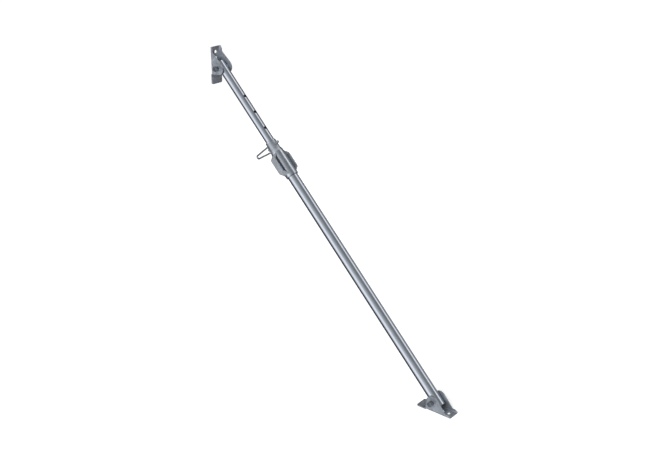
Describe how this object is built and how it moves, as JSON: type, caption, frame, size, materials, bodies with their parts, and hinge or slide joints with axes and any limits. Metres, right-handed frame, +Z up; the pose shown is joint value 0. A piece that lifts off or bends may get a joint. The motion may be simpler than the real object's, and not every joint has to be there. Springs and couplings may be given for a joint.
{
  "type": "push-pull steel prop",
  "caption": "Telescopic steel wall brace with a sleeve nut, strap handles, a looped locking pin and a hinged folded plate at each end.",
  "frame": {"origin": "on the floor plate's underside, straight below the foot hinge", "axes": "+Z up from the floor; the hinge axes run along Y; the prop leans from the floor plate towards the wall at -X"},
  "size_m": [1.5571, 0.1218, 1.6069],
  "materials": {
    "tube_zinc": "shiny hot-dip galvanised steel",
    "plate_zinc": "matte hot-dip galvanised steel",
    "fastener_zinc": "dull zinc-coated steel"
  },
  "bodies": {
    "outer": {"outer_tube": "tube_zinc", "foot_pivot_bush": "plate_zinc"},
    "floor": {"floor_plate": "plate_zinc", "floor_hinge_bolt": "fastener_zinc", "floor_hinge_washers": "plate_zinc", "floor_hinge_nut": "fastener_zinc", "floor_lock_nut": "fastener_zinc"},
    "inner": {"inner_tube": "tube_zinc", "wall_pivot_bush": "plate_zinc", "pin_collar": "plate_zinc"},
    "nut": {"sleeve_nut": "plate_zinc", "threaded_bush": "fastener_zinc", "thrust_ring": "fastener_zinc", "near_handle": "plate_zinc", "far_handle": "plate_zinc"},
    "pin": {"locking_pin": "tube_zinc", "pin_loop": "plate_zinc"},
    "wall": {"wall_plate": "plate_zinc", "wall_hinge_bolt": "fastener_zinc", "wall_hinge_washers": "plate_zinc", "wall_hinge_nut": "fastener_zinc", "wall_lock_nut": "fastener_zinc"}
  },
  "joints": [
    {"name": "foot_hinge", "type": "hinge", "parent": "outer", "child": "floor", "pos_m": [0, 0, 0.052], "axis": [0, 1, 0], "range_deg": [-74, 36]},
    {"name": "fine_adjust", "type": "slide", "parent": "outer", "child": "inner", "axis": [-0.6947, 0, 0.7193], "range_m": [-0.008, 0.08]},
    {"name": "nut_turn", "type": "hinge", "parent": "inner", "child": "nut", "pos_m": [-0.97252, 0, 1.05908], "axis": [-0.6947, 0, 0.7193], "range_deg": [-360, 3600]},
    {"name": "pin_pull", "type": "slide", "parent": "inner", "child": "pin", "axis": [-0.7193, 0, -0.6947], "range_m": [0, 0.09]},
    {"name": "wall_hinge", "type": "hinge", "parent": "inner", "child": "wall", "pos_m": [-1.40113, 0, 1.50291], "axis": [0, 1, 0], "range_deg": [-34, 76]}
  ],
  "couplings": [
    {"joint": "nut_turn", "follows": "fine_adjust", "rad_per_m": 785.4}
  ]
}
